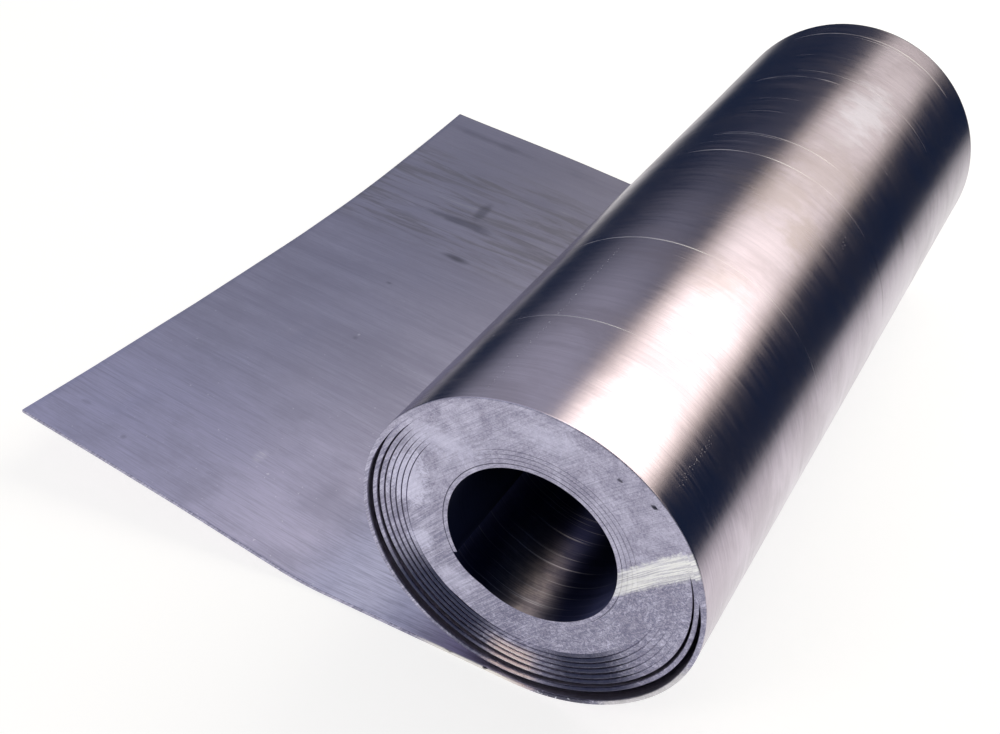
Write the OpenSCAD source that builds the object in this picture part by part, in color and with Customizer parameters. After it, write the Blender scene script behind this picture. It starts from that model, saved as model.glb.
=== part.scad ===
// Roll of lead flashing: one strip of rolled sheet lead, wound on itself round an open bore, with
// its outer turns sprung loose and its free end left lying flat on the floor.
// Lengths are in millimetres. The origin is on the bore's axis, halfway along the tight turns.
// The roll's axis is Y and its near end is at -Y. The free end runs towards -X.

/* [Sheet] */
// Width of the strip, which is the length of the roll
sheet_w = 450; // [150:10:600]
// Thickness of the sheet
sheet_t = 2.24; // [1.3:0.02:3.5]

/* [Tight turns] */
// Radius of the bore that the former leaves
bore_r = 40; // [25:1:60]
// Number of turns that are wound tight
tight_turns = 9; // [6:1:12]
// Angle, seen from the near end, at which the strip's inner end lies
inner_end_angle = 211.6; // [190:0.2:240]
// Angle over which the second turn climbs onto the inner end
climb_angle = 26.4; // [20:0.2:32]

/* [Loose turns] */
// Gap under each loose turn at the bottom of the roll, from the outermost turn inwards
bottom_gap = [0, 1.7, 2.6, 1.7, 0.8, 0.5, 0.5]; // [0:0.1:8]
// Sideways place of each loose turn's lowest point, from the outermost turn inwards
bottom_x = [0, -6, -3, 0, 0, 0, 0]; // [-12:1:4]
// How far each loose turn's upper arc is centred below the one inside it, from the outermost turn inwards
top_sag = [2.2, 1.2, 0.8, 0.6, 0.6, 0.6, 0.6]; // [0.3:0.1:3]
// How far each loose turn telescopes towards the near end, from the outermost turn inwards
telescope = [2, 1, 0.2, 0.3, 0.3, 0.3, 0.3]; // [0:0.1:3]
// How far the innermost loose turn already stands out past the tight turns' near end
loose_step = 0.15; // [0.1:0.05:0.5]
// How far each turn is pressed into the next at the top of the roll
nip = 0.2; // [0.15:0.01:0.3]

/* [Free end] */
// Length of the strip that lies flat on the floor
flat_length = 104; // [60:1:200]
// Length of the strip beyond that, which is bent up
lifted_length = 183; // [80:1:240]
// Length over which the bend takes place
bend_length = 25; // [20:1:60]
// Height of the underside at the near corner
near_lift = 31; // [12:1:60]
// Height of the underside at the far corner
far_lift = 15.2; // [12:0.2:60]
// Height of the underside where the end edge sags lowest
sag_lift = 11; // [2:0.5:12]
// Height by which the bent-up stretch is crowned halfway along
crown_lift = 1; // [0:0.1:3]
// Place of that lowest point along the end edge, as a share of the width from the near corner
sag_place = 0.69; // [0.4:0.01:0.8]

/* [Turn lines] */
// Depth of the line between two tight turns
line_depth = 0.5; // [0.2:0.1:1]
// Width of the line between two tight turns
line_w = 0.22; // [0.1:0.02:0.4]

/* [Hidden] */

loose_turns = len(bottom_gap);
tight_r = bore_r + tight_turns * sheet_t;
floor_z = -tight_r - loose_turns * sheet_t - sum_first(bottom_gap, loose_turns);
// Outward directions round one quarter of a turn, seen from the near end: each is exact in decimals, so
// that neighbouring arcs of the strip meet face to face
quarter = [[0, -1], [0.28, -0.96], [0.6, -0.8], [0.8, -0.6], [0.96, -0.28]];
directions = concat(
    quarter,
    [for (u = quarter) [-u.y, u.x]],
    [for (u = quarter) -u],
    [for (u = quarter) [u.y, -u.x]]);
// Places in that list where a loose turn starts, where its radius changes and where it ends
down = 0;
low_right = 3;
right = 5;
left = 14;
low_left = 17;
turn_end = len(directions);
// Radii are rounded to this for the same reason
rounding = 0.05;
full_turn = 360;
// Each line is broken by this angle where it hands over from a circle to a climb
line_break = 0.5;
// Spare length by which cutting shapes pass through what they cut
over = 1;
// Reach of the wedges that cut arcs out of rings, well past the roll
reach = 400;
// Powers by which the end edge curves up from its lowest point to the near and to the far corner
near_curve = 1.5;
far_curve = 2;
grid_along = 16;
grid_across = 14;
$fn = 180;

// A turn that climbs onto the next one out: its arc starts at the inner turn's face and ends, square to
// the radius through the strip's inner end, one thickness further out
function climb_r(k) =
    let(r = bore_r + k * sheet_t, out = r + sheet_t)
    (pow(r, 2) + pow(out, 2) - 2 * r * out * cos(climb_angle)) / (2 * out - 2 * r * cos(climb_angle));

function sum_first(v, n) = n <= 0 ? 0 : v[n - 1] + sum_first(v, n - 1);
function sum_from(v, n) = n >= loose_turns ? 0 : v[n] + sum_from(v, n + 1);
function direction(i) = directions[i % turn_end];
function rounded(v) = round(v / rounding) * rounding;

// Lowest point of loose turn k, counted from 0 at the outermost; after the last comes the tight roll
function lowest(k) = k < loose_turns
    ? [bottom_x[k], floor_z + k * sheet_t + sum_first(bottom_gap, k + 1)]
    : [0, -tight_r];
function upper_centre(k) = [0, -sum_from(top_sag, k)];
function upper_r(k) = tight_r + (loose_turns - k) * (sheet_t - nip) + sum_from(top_sag, k);

// Radii of two arcs that lead smoothly from one point to another, given the places in the list of
// directions at the start, at the change of arc and at the end
function flank_radii(from, to, i0, i1, i2) =
    let(
        p = direction(i1) - direction(i0),
        q = direction(i2) - direction(i1),
        d = to - from,
        area = cross(p, q)
    )
    [rounded(cross(d, q) / area), rounded(cross(p, d) / area)];

// The arcs of the loose strip, from turn k's lowest point inwards: each is its turn, its centre, the
// radius of its outer face, and the places of its first and last outward direction
function strip_arcs(k, from) = k == loose_turns ? [] :
    let(
        r = flank_radii(from, upper_centre(k) + upper_r(k) * direction(right), down, low_right, right),
        c0 = from - r[0] * direction(down),
        c1 = c0 + (r[0] - r[1]) * direction(low_right),
        top_r = rounded(upper_r(k)),
        top_c = c1 + (r[1] - top_r) * direction(right),
        s = flank_radii(top_c + top_r * direction(left), lowest(k + 1), left, low_left, turn_end),
        c3 = top_c + (top_r - s[0]) * direction(left),
        c4 = c3 + (s[0] - s[1]) * direction(low_left)
    )
    concat(
        [
            [k, c0, r[0], down, low_right],
            [k, c1, r[1], low_right, right],
            [k, top_c, top_r, right, left],
            [k, c3, s[0], left, low_left],
            [k, c4, s[1], low_left, turn_end],
        ],
        strip_arcs(k + 1, c4 + s[1] * direction(turn_end)));

// How far the loose strip stands out past the tight turns at place i of turn k
function telescoped(k, i) = loose_step + sum_from(telescope, k + 1) + (1 - i / turn_end) * telescope[k];

function bend_share(s) =
    let(run = lifted_length - bend_length / 2)
    s < bend_length ? pow(s, 2) / (2 * bend_length) / run : (s - bend_length / 2) / run;
function end_lift(v) = v < sag_place
    ? sag_lift + (near_lift - sag_lift) * pow((sag_place - v) / sag_place, near_curve)
    : sag_lift + (far_lift - sag_lift) * pow((v - sag_place) / (1 - sag_place), far_curve);
// Height of the underside at a share u of the bent-up stretch and a share v of the width
function free_lift(u, v) =
    bend_share(u * lifted_length) * end_lift(v) + crown_lift * (1 - cos(full_turn * u)) / 2;

// Stands a shape drawn on the near end's view upright, with its height along the roll's axis
module stand_up() {
    rotate([90, 0, 0])
        children();
}

// A stretch of sheet bent to an arc between two places in the list of directions
module sheet_arc(centre, r, i0, i1) {
    translate([centre.x, centre.y, -sheet_w / 2])
        intersection() {
            difference() {
                cylinder(r = r, h = sheet_w);
                translate([0, 0, -over])
                    cylinder(r = r - sheet_t, h = sheet_w + 2 * over);
            }
            linear_extrude(height = sheet_w)
                polygon(concat([[0, 0]], [for (i = [i0:i1]) reach * direction(i)]));
        }
}

// The outer turns, sprung loose: one strip of tangent arcs. Where it telescopes, each arc is cut at every
// direction in the list, and its pieces step along the axis.
module loose_strip() {
    for (a = strip_arcs(0, lowest(0))) {
        piece = telescope[a[0]] > 0 ? 1 : a[4] - a[3];
        for (i = [a[3]:piece:a[4] - 1])
            translate([0, 0, telescoped(a[0], i)])
                sheet_arc(a[1], a[2], i, i + piece);
    }
}

module tight_roll() {
    translate([0, 0, -sheet_w / 2])
        cylinder(r = tight_r, h = sheet_w);
}

// The step at the bore, where the second turn climbs onto the strip's inner end
module inner_end_step() {
    rotate([0, 0, inner_end_angle])
        difference() {
            translate([bore_r + sheet_t - climb_r(0), 0, -sheet_w / 2 - over])
                cylinder(r = climb_r(0), h = sheet_w + 2 * over);
            translate([-reach / 2, -reach, -sheet_w])
                cube([reach, reach, 2 * sheet_w]);
        }
}

// A stretch of a turn's line about the given centre, cut into both ends of the roll
module line_arc(centre_x, r, angle) {
    for (z = [sheet_w / 2 - line_depth, -sheet_w / 2 - over])
        translate([centre_x, 0, z])
            rotate([0, 0, line_break])
                rotate_extrude(angle = angle - 2 * line_break)
                    translate([r - line_w / 2, 0])
                        square([line_w, line_depth + over]);
}

// The line between turn k and the next: nearly a full circle, then the climb out to the next line
module turn_line(k) {
    r = bore_r + k * sheet_t;
    out = r + sheet_t - climb_r(k);
    rotate([0, 0, inner_end_angle + climb_angle])
        line_arc(0, r, full_turn - climb_angle + (k == 1 ? 2 * line_break : 0));
    if (k < tight_turns - 1)
        rotate([0, 0, inner_end_angle])
            line_arc(out, climb_r(k), atan2(r * sin(climb_angle), r * cos(climb_angle) - out));
}

// The flat stretch of the free end, which the whole roll lies on
module flat_stretch(shift) {
    translate([lowest(0).x - flat_length, floor_z, shift - sheet_w / 2])
        cube([flat_length, sheet_t, sheet_w]);
}

// The bent-up stretch: both its corners are lifted, and its end edge sags between them
module lifted_stretch(shift) {
    x0 = lowest(0).x - flat_length;
    rows = [for (i = [0:grid_along]) i / grid_along];
    cols = [for (j = [0:grid_across]) j / grid_across];
    under = [for (u = rows) for (v = cols)
        [x0 - u * lifted_length, floor_z + free_lift(u, v),
            shift + sheet_w / 2 - v * sheet_w]];
    upper = [for (p = under) p + [0, sheet_t, 0]];
    n = len(under);
    step = grid_across + 1;
    last = grid_along * step;
    faces = concat(
        [for (i = [0:grid_along - 1]) for (j = [0:grid_across - 1]) let(a = i * step + j)
            each [[a, a + 1, a + step + 1], [a, a + step + 1, a + step]]],
        [for (i = [0:grid_along - 1]) for (j = [0:grid_across - 1]) let(a = n + i * step + j)
            each [[a, a + step + 1, a + 1], [a, a + step, a + step + 1]]],
        [for (i = [0:grid_along - 1]) let(a = i * step)
            each [[a, a + step, n + a + step], [a, n + a + step, n + a]]],
        [for (i = [0:grid_along - 1]) let(a = i * step + grid_across)
            each [[a, n + a + step, a + step], [a, n + a, n + a + step]]],
        [for (j = [0:grid_across - 1]) each [[j, n + j + 1, j + 1], [j, n + j, n + j + 1]]],
        [for (j = [0:grid_across - 1]) let(a = last + j)
            each [[a, a + 1, n + a + 1], [a, n + a + 1, n + a]]]);
    polyhedron(points = concat(under, upper), faces = faces);
}

module lead_strip() {
    end_shift = telescoped(0, 0);
    color([0.66, 0.66, 0.71])
        stand_up()
            difference() {
                union() {
                    tight_roll();
                    loose_strip();
                    flat_stretch(end_shift);
                    lifted_stretch(end_shift);
                }
                translate([0, 0, -sheet_w / 2 - over])
                    cylinder(r = bore_r, h = sheet_w + 2 * over);
                inner_end_step();
                for (k = [1:tight_turns - 1])
                    turn_line(k);
            }
}

lead_strip();
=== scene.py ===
from math import atan2, cos, radians, sin, sqrt, tau

import bpy
from mathutils import Matrix, Vector, noise


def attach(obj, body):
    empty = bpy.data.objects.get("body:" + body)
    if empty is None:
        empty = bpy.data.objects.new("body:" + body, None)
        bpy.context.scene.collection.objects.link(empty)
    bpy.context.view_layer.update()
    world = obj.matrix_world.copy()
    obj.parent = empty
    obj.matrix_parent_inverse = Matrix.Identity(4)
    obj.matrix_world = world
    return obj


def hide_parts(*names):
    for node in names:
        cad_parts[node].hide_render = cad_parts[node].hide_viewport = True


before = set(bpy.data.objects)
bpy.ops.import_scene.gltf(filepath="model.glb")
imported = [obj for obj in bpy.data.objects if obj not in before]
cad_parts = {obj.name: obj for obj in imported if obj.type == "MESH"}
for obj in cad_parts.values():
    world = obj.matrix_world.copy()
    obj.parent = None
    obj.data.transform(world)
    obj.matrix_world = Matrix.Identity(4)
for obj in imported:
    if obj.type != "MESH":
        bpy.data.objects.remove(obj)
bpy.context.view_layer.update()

# The strip. One length of rolled sheet lead, cut square at both ends and wound on itself by hand.
# Its inner turns are tight, and its outer turns have come loose and sagged under their own weight.
# The last stretch runs out over the floor and is bent up to its corners.
SHEET = 0.00224
WIDTH = 0.450
BORE_RADIUS = 0.040
TIGHT_TURNS = 9
# Where the strip's inner end lies in the bore, and how far round each turn takes to settle past it
INNER_END_ANGLE = radians(211.6)
CLIMB_ANGLE = radians(26.4)
# For each loose turn, from the outermost inwards: the gap outside it at the bottom, the place of
# its lowest point, how much its top sags, and how far it stands out past the next one endways
BOTTOM_GAPS = [0, 0.0017, 0.0026, 0.0017, 0.0008, 0.0005, 0.0005]
BOTTOM_PLACES = [0, -0.006, -0.003, 0, 0, 0, 0]
TOP_SAGS = [0.0022, 0.0012, 0.0008, 0.0006, 0.0006, 0.0006, 0.0006]
TELESCOPES = [0.002, 0.001, 0.0002, 0.0003, 0.0003, 0.0003, 0.0003]
# The bite of each loose turn into the next one at the top, and how far they all stand out past
# the tight ones
NIP = 0.0002
LOOSE_STEP = 0.00015
# The free end: its flat and its lifted length, the length of its bend, and its heights
FLAT_LENGTH = 0.104
LIFTED_LENGTH = 0.183
BEND_LENGTH = 0.025
NEAR_LIFT = 0.031
FAR_LIFT = 0.0152
SAG_LIFT = 0.011
SAG_PLACE = 0.69
CROWN_LIFT = 0.001

LOOSE_TURNS = len(BOTTOM_GAPS)
TIGHT_RADIUS = BORE_RADIUS + TIGHT_TURNS * SHEET
FLOOR = -TIGHT_RADIUS - LOOSE_TURNS * SHEET - sum(BOTTOM_GAPS)
FREE_END = -1

# Angles, seen from the near end, at which the radius of a loose turn changes
DOWN = radians(-90)
LOW_RIGHT = atan2(-0.6, 0.8)
RIGHT = 0.0
LEFT = atan2(0.28, -0.96)
LOW_LEFT = atan2(-0.6, -0.8) + tau
TURN_END = DOWN + tau


def direction(angle):
    return Vector((cos(angle), sin(angle)))


def smooth_step(low, high, value):
    share = min(1.0, max(0.0, (value - low) / (high - low)))
    return share * share * (3 - 2 * share)


def lowest(turn):
    """The lowest point of a loose turn's outer face, counted from 0 at the outermost."""
    if turn == LOOSE_TURNS:
        return Vector((0, -TIGHT_RADIUS))
    return Vector((BOTTOM_PLACES[turn], FLOOR + turn * SHEET + sum(BOTTOM_GAPS[: turn + 1])))


def flank_radii(start, end, a, b, c):
    """Radii of two arcs that lead smoothly from start to end, given the outward angles on the way."""
    p = direction(b) - direction(a)
    q = direction(c) - direction(b)
    d = end - start
    area = p.cross(q)
    return d.cross(q) / area, p.cross(d) / area


def loose_arcs():
    """Turn, centre, outer radius, first and last angle of each arc, from the outside inwards."""
    arcs = []
    start = lowest(0)
    for turn in range(LOOSE_TURNS):
        sag = sum(TOP_SAGS[turn:])
        upper = TIGHT_RADIUS + (LOOSE_TURNS - turn) * (SHEET - NIP) + sag
        upper_start = Vector((0, -sag)) + upper * direction(RIGHT)
        r0, r1 = flank_radii(start, upper_start, DOWN, LOW_RIGHT, RIGHT)
        c0 = start - r0 * direction(DOWN)
        c1 = c0 + (r0 - r1) * direction(LOW_RIGHT)
        c2 = c1 + (r1 - upper) * direction(RIGHT)
        upper_end = c2 + upper * direction(LEFT)
        r3, r4 = flank_radii(upper_end, lowest(turn + 1), LEFT, LOW_LEFT, TURN_END)
        c3 = c2 + (upper - r3) * direction(LEFT)
        c4 = c3 + (r3 - r4) * direction(LOW_LEFT)
        arcs.append((turn, c0, r0, DOWN, LOW_RIGHT))
        arcs.append((turn, c1, r1, LOW_RIGHT, RIGHT))
        arcs.append((turn, c2, upper, RIGHT, LEFT))
        arcs.append((turn, c3, r3, LEFT, LOW_LEFT))
        arcs.append((turn, c4, r4, LOW_LEFT, TURN_END))
        start = c4 + r4 * direction(TURN_END)
    return arcs


ARCS = loose_arcs()


def gap_outside(turn, angle):
    """Gap between a turn and the one outside it, down to the first tight turn."""
    if not 0 < turn <= LOOSE_TURNS:
        return 0.0
    angle = DOWN + (angle - DOWN) % tau
    slack = 1e-6
    tight = (LOOSE_TURNS, Vector((0, 0)), TIGHT_RADIUS, DOWN, TURN_END)
    (_, inner_centre, inner_radius, _, _), (_, outer_centre, outer_radius, _, _) = [
        next(arc for arc in ARCS + [tight] if arc[0] == k and arc[3] - slack <= angle <= arc[4] + slack)
        for k in (turn, turn - 1)
    ]
    apart = (outer_centre - inner_centre).dot(direction(angle)) + outer_radius - SHEET - inner_radius
    return max(0.0, apart)


def tight_radius(angle):
    """Outer face of the tight turns: each drops by a sheet's thickness at the strip's inner end."""
    passed = min(int((angle - INNER_END_ANGLE) // tau), TIGHT_TURNS - 1)
    settled = BORE_RADIUS + (TIGHT_TURNS - passed) * SHEET
    past_end = angle - INNER_END_ANGLE - passed * tau
    if past_end >= CLIMB_ANGLE:
        return settled
    outer = settled + SHEET
    fall = cos(CLIMB_ANGLE)
    r = (settled**2 + outer**2 - 2 * settled * outer * fall) / (2 * outer - 2 * settled * fall)
    off_centre = outer - r
    return off_centre * cos(past_end) + sqrt(r**2 - (off_centre * sin(past_end)) ** 2)


def bend_share(run):
    full = LIFTED_LENGTH - BEND_LENGTH / 2
    if run < BEND_LENGTH:
        return run**2 / (2 * BEND_LENGTH) / full
    return (run - BEND_LENGTH / 2) / full


def end_lift(across):
    if across < SAG_PLACE:
        return SAG_LIFT + (NEAR_LIFT - SAG_LIFT) * ((SAG_PLACE - across) / SAG_PLACE) ** 1.5
    return SAG_LIFT + (FAR_LIFT - SAG_LIFT) * ((across - SAG_PLACE) / (1 - SAG_PLACE)) ** 2


def free_lift(x, across):
    """Height of the free end's underside over the floor."""
    run = -FLAT_LENGTH - x
    if run <= 0:
        return 0.0
    share = run / LIFTED_LENGTH
    return bend_share(run) * end_lift(across) + CROWN_LIFT * (1 - cos(tau * share)) / 2


class Place:
    """One place along the strip, on the middle of its thickness."""

    def __init__(self, middle, angle, turn, telescoped):
        self.middle = middle
        self.angle = angle
        self.turn = turn
        self.telescoped = telescoped
        self.in_bore = turn >= LOOSE_TURNS + TIGHT_TURNS - 2
        self.inset = 0.0
        self.along = 0.0


# How closely the places lie on the free end, on the outermost turn and on the others
FREE_STEPS = 84
OUTERMOST_STEP = radians(2)
TURN_STEP = radians(3)
# The inner end has sprung a little way off the wall, over its last stretch
SPRUNG_OFF = 0.00012
SPRUNG_ANGLE = radians(130)
SETTLING_ANGLE = radians(30)


def strip_places():
    places = []
    stands_out = LOOSE_STEP + sum(TELESCOPES)
    free_length = FLAT_LENGTH + LIFTED_LENGTH - SHEET / 10
    for i in range(FREE_STEPS):
        middle = Vector((-free_length * (1 - i / FREE_STEPS), FLOOR + SHEET / 2))
        places.append(Place(middle, DOWN, FREE_END, stands_out))
    for turn, centre, radius, first, last in ARCS:
        steps = max(2, round((last - first) / (OUTERMOST_STEP if turn == 0 else TURN_STEP)))
        for i in range(steps):
            angle = first + (last - first) * i / steps
            left_to_go = 1 - (angle - DOWN) / tau
            shift = LOOSE_STEP + sum(TELESCOPES[turn + 1 :]) + left_to_go * TELESCOPES[turn]
            places.append(Place(centre + (radius - SHEET / 2) * direction(angle), angle, turn, shift))
    end_angle = INNER_END_ANGLE + TIGHT_TURNS * tau
    steps = round((end_angle - TURN_END) / TURN_STEP)
    for i in range(steps + 1):
        angle = TURN_END + (end_angle - TURN_END) * i / steps
        sprung = SPRUNG_OFF * smooth_step(end_angle - SPRUNG_ANGLE, end_angle - SETTLING_ANGLE, angle)
        middle = (tight_radius(angle) - SHEET / 2 - sprung) * direction(angle)
        shift = LOOSE_STEP * max(0.0, 1 - (angle - TURN_END) / SETTLING_ANGLE)
        places.append(Place(middle, angle, LOOSE_TURNS + int((angle - TURN_END) / tau), shift))
    for before, after in zip(places, places[1:]):
        after.along = before.along + (after.middle - before.middle).length
    return places


PLACES = strip_places()


def along_at(degrees):
    """Length of strip from its cut end to an angle of the outermost turn."""
    return next(place.along for place in PLACES if place.turn == 0 and place.angle >= radians(degrees))


def start_of_turn(turn):
    return next(place.along for place in PLACES if place.turn == turn)


END_BEVEL = 0.0003


def bevelled_ends(places):
    """Adds two places at each cut end, where the sheet thins to the bevel of the cut."""
    first, second = places[0], places[1]
    before, last = places[-2], places[-1]
    out = []
    for inset, share in ((1.0, 0.0), (0.3, 0.3), (0.0, 1.0)):
        for end, inward in ((first, second), (last, before)):
            run = (inward.middle - end.middle).length
            at = end.middle.lerp(inward.middle, share * END_BEVEL / run)
            made = Place(at, end.angle, end.turn, end.telescoped)
            made.along = end.along + (inward.along - end.along) * share * END_BEVEL / run
            made.inset = inset * END_BEVEL
            out.append(made)
    return out[0::2] + places[1:-1] + out[1::2][::-1]


# Where the near end has been wiped flush, the line between a turn and the next one in disappears:
# angles at which it fades on the right and comes back on the left
WIPED = [(5, 15, 150, 165), (15, 28, 138, 150)] + [(-50, -32, 140, 156)] * 5


def wiped(line, angle):
    """How far the line inside a loose turn has been wiped over."""
    if line < 0:
        return 0.0
    if line >= LOOSE_TURNS:
        return 1.0
    angle = DOWN + (angle - DOWN) % tau
    a, b, c, d = (radians(w) for w in WIPED[line])
    return smooth_step(a, b, angle) * (1 - smooth_step(c, d, angle))


# Bevels of the sheared edges. A turn's inner corner is the rounder one, the inner turns have less,
# and the least is left where the edges are wiped or tight
FREE_BEVEL = 0.0004
OUTER_BEVEL = 0.00042
INNER_BEVEL = 0.00065
BEVEL_STEP = 0.00003
LEAST_BEVEL = 0.00003
BORE_BEVEL = 0.00009
INNER_END_BEVEL = 0.0002
SMEARED_GAP = 0.0008


def edge_shape(place):
    """Bevel of the sheared edge, and how far its lip is smeared, on the outer and the inner face."""
    turn, angle = place.turn, place.angle
    if turn == FREE_END:
        return (FREE_BEVEL, 0.0), (FREE_BEVEL, 0.0)
    if turn <= LOOSE_TURNS:
        sides = []
        for line, widest in ((turn - 1, OUTER_BEVEL), (turn, INNER_BEVEL)):
            over = wiped(line, angle)
            gap = gap_outside(line + 1, angle)
            open_bevel = widest - BEVEL_STEP * turn
            bevel = open_bevel + (LEAST_BEVEL - open_bevel) * over
            sides.append((bevel, 0.5 * min(gap, SMEARED_GAP) * over))
        return tuple(sides)
    from_bore = LOOSE_TURNS + TIGHT_TURNS - turn
    around = (angle - DOWN) % tau
    right_side = smooth_step(radians(40), radians(70), around)
    right_side *= 1 - smooth_step(radians(190), radians(230), around)
    bevel = LEAST_BEVEL + BORE_BEVEL * right_side * (1 - smooth_step(2, 6, from_bore))
    end_angle = PLACES[-1].angle
    last_part = smooth_step(end_angle - SPRUNG_ANGLE, end_angle - radians(90), angle)
    return (max(bevel, INNER_END_BEVEL * last_part), 0.0), (bevel, 0.0)


# Dents in the free end: place from its cut end, place across, reach and depth, and how sharply
# they fall off. Then the heights of the sheet's waves there and on the roll
DENTS = [(0.030, 0.045, 0.006, 0.0005), (0.062, 0.155, 0.004, 0.0004), (0.115, 0.060, 0.004, 0.0004)]
DENT_FALL = 2.72
FREE_WAVE = 0.00035
ROLL_WAVE = 0.00012


def lead_wave(place, across):
    """The slight waves and dents of a soft sheet, as a shift along its outward direction."""
    if place.turn > 0:
        return 0.0
    along = place.along
    wave = noise.noise(Vector((along * 9, across * 14, 0.5)))
    wave += 0.5 * noise.noise(Vector((along * 26, across * 30, 7.5)))
    if place.turn == FREE_END:
        lifted = smooth_step(0.0, 0.05, -FLAT_LENGTH - place.middle.x)
        dent = 0.0
        for dent_along, dent_across, reach, depth in DENTS:
            away = ((along - dent_along) ** 2 + (across - dent_across) ** 2) / reach**2
            dent += depth * DENT_FALL**-away
        return lifted * (dent - FREE_WAVE * (wave + 0.3))
    free_of_floor = smooth_step(radians(6), radians(40), place.angle - DOWN)
    return ROLL_WAVE * (wave - 0.7) * free_of_floor


# Places across the strip at which its faces have points: only the faces that are seen are fine
EDGE_INSET = 0.0012
FACE_INSET = 0.004
FACE_STEPS = 44
COARSE = [EDGE_INSET, WIDTH - EDGE_INSET]
FINE = [FACE_INSET + (WIDTH - 2 * FACE_INSET) * i / FACE_STEPS for i in range(FACE_STEPS + 1)]
FINE = [EDGE_INSET] + FINE + [WIDTH - EDGE_INSET]


def strip_point(place, across, offset):
    """Point at a distance across the strip and an offset outwards from its middle."""
    y = -WIDTH / 2 - place.telescoped + across
    x, z = place.middle
    share = across / WIDTH
    offset += lead_wave(place, across)
    if place.turn != FREE_END:
        out = direction(place.angle)
        return Vector((x + out.x * offset, y, z + out.y * offset))
    step = 0.0005
    slope_x = (free_lift(x + step, share) - free_lift(x - step, share)) / (2 * step)
    low, high = max(0, share - step), min(1, share + step)
    slope_y = (free_lift(x, high) - free_lift(x, low)) / ((high - low) * WIDTH)
    out = Vector((slope_x, slope_y, -1)).normalized()
    point = Vector((x, y, z + free_lift(x, share))) + out * offset
    point.y = y
    return point


class Ring:
    """The strip's outline at one place: near edge, inner face, far edge and outer face."""

    def __init__(self, place, points):
        half = SHEET / 2 - place.inset
        near, far = [], []
        for side, (bevel, smear) in zip((1, -1), edge_shape(place)):
            bevel = min(bevel, half * 0.9)
            near.append([(across, side * out) for across, out in self.lip(bevel, half + smear)])
            far.append([(WIDTH - across, side * out) for across, out in self.lip(bevel, half)])
        fine_outside = place.turn in (FREE_END, 0)
        fine_inside = fine_outside or place.in_bore
        near = near[0] + near[1][::-1]
        far = far[1] + far[0][::-1]
        inner = [(across, -half) for across in (FINE if fine_inside else COARSE)]
        outer = [(across, half) for across in reversed(FINE if fine_outside else COARSE)]
        self.near, self.inner, self.far, self.outer = (
            [self.add(place, across, out, points) for across, out in part]
            for part in (near, inner, far, outer)
        )

    @staticmethod
    def lip(bevel, out):
        """Three points round a sheared corner, from the face to the cut."""
        return [(bevel, out), (0.3 * bevel, out - 0.3 * bevel), (0, out - bevel)]

    @staticmethod
    def add(place, across, out, points):
        points.append((strip_point(place, across, out), place.along, across, 2 * out / SHEET))
        return len(points) - 1

    def chains(self):
        inner = [self.near[-1]] + self.inner + [self.far[0]]
        outer = [self.far[-1]] + self.outer + [self.near[0]]
        return self.near, inner, self.far, outer


ROLL_FACE, CUT_EDGE, UPPER_FACE, BORE_WALL = range(4)


def strip_mesh():
    places = bevelled_ends(PLACES)
    points = []
    rings = [Ring(place, points) for place in places]
    faces, finishes = [], []

    def add_face(corners, finish):
        faces.append(corners)
        finishes.append(finish)

    for place, a, b in zip(places, rings, rings[1:]):
        inside = BORE_WALL if place.in_bore else UPPER_FACE
        for finish, p, q in zip((CUT_EDGE, inside, CUT_EDGE, ROLL_FACE), a.chains(), b.chains()):
            if len(p) == len(q):
                for i in range(len(p) - 1):
                    add_face((p[i], q[i], q[i + 1], p[i + 1]), finish)
            else:
                add_face((p[0], q[0], q[1], p[1]), finish)
                add_face((p[-2], q[-2], q[-1], p[-1]), finish)
                add_face(tuple(p[1:-1][::-1] + q[1:-1]), finish)
    for ring, turned in ((rings[0], True), (rings[-1], False)):
        near, inner, far, outer = ring.chains()
        outer = outer[::-1]
        cap = [near, far]
        if len(inner) == len(outer):
            cap += [(inner[i], inner[i + 1], outer[i + 1], outer[i]) for i in range(len(inner) - 1)]
        else:
            cap += [(inner[0], inner[1], outer[1], outer[0]), (inner[-2], inner[-1], outer[-1], outer[-2])]
            cap += [tuple(inner[1:-1] + outer[1:-1][::-1])]
        for corners in cap:
            add_face(tuple(corners)[::-1] if turned else tuple(corners), CUT_EDGE)

    mesh = bpy.data.meshes.new("rolled_strip")
    mesh.from_pydata([p[0] for p in points], [], faces)
    mesh.polygons.foreach_set("material_index", finishes)
    strip_map = mesh.uv_layers.new(name="strip")
    edge_map = mesh.uv_layers.new(name="edge")
    for loop in mesh.loops:
        _, along, across, outwards = points[loop.vertex_index]
        strip_map.uv[loop.index].vector = (along, across)
        edge_map.uv[loop.index].vector = (along, outwards)
    mesh.shade_smooth()
    mesh.set_sharp_from_angle(angle=radians(30))
    return mesh


strip = bpy.data.objects.new("rolled_strip", strip_mesh())
bpy.context.scene.collection.objects.link(strip)


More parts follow.
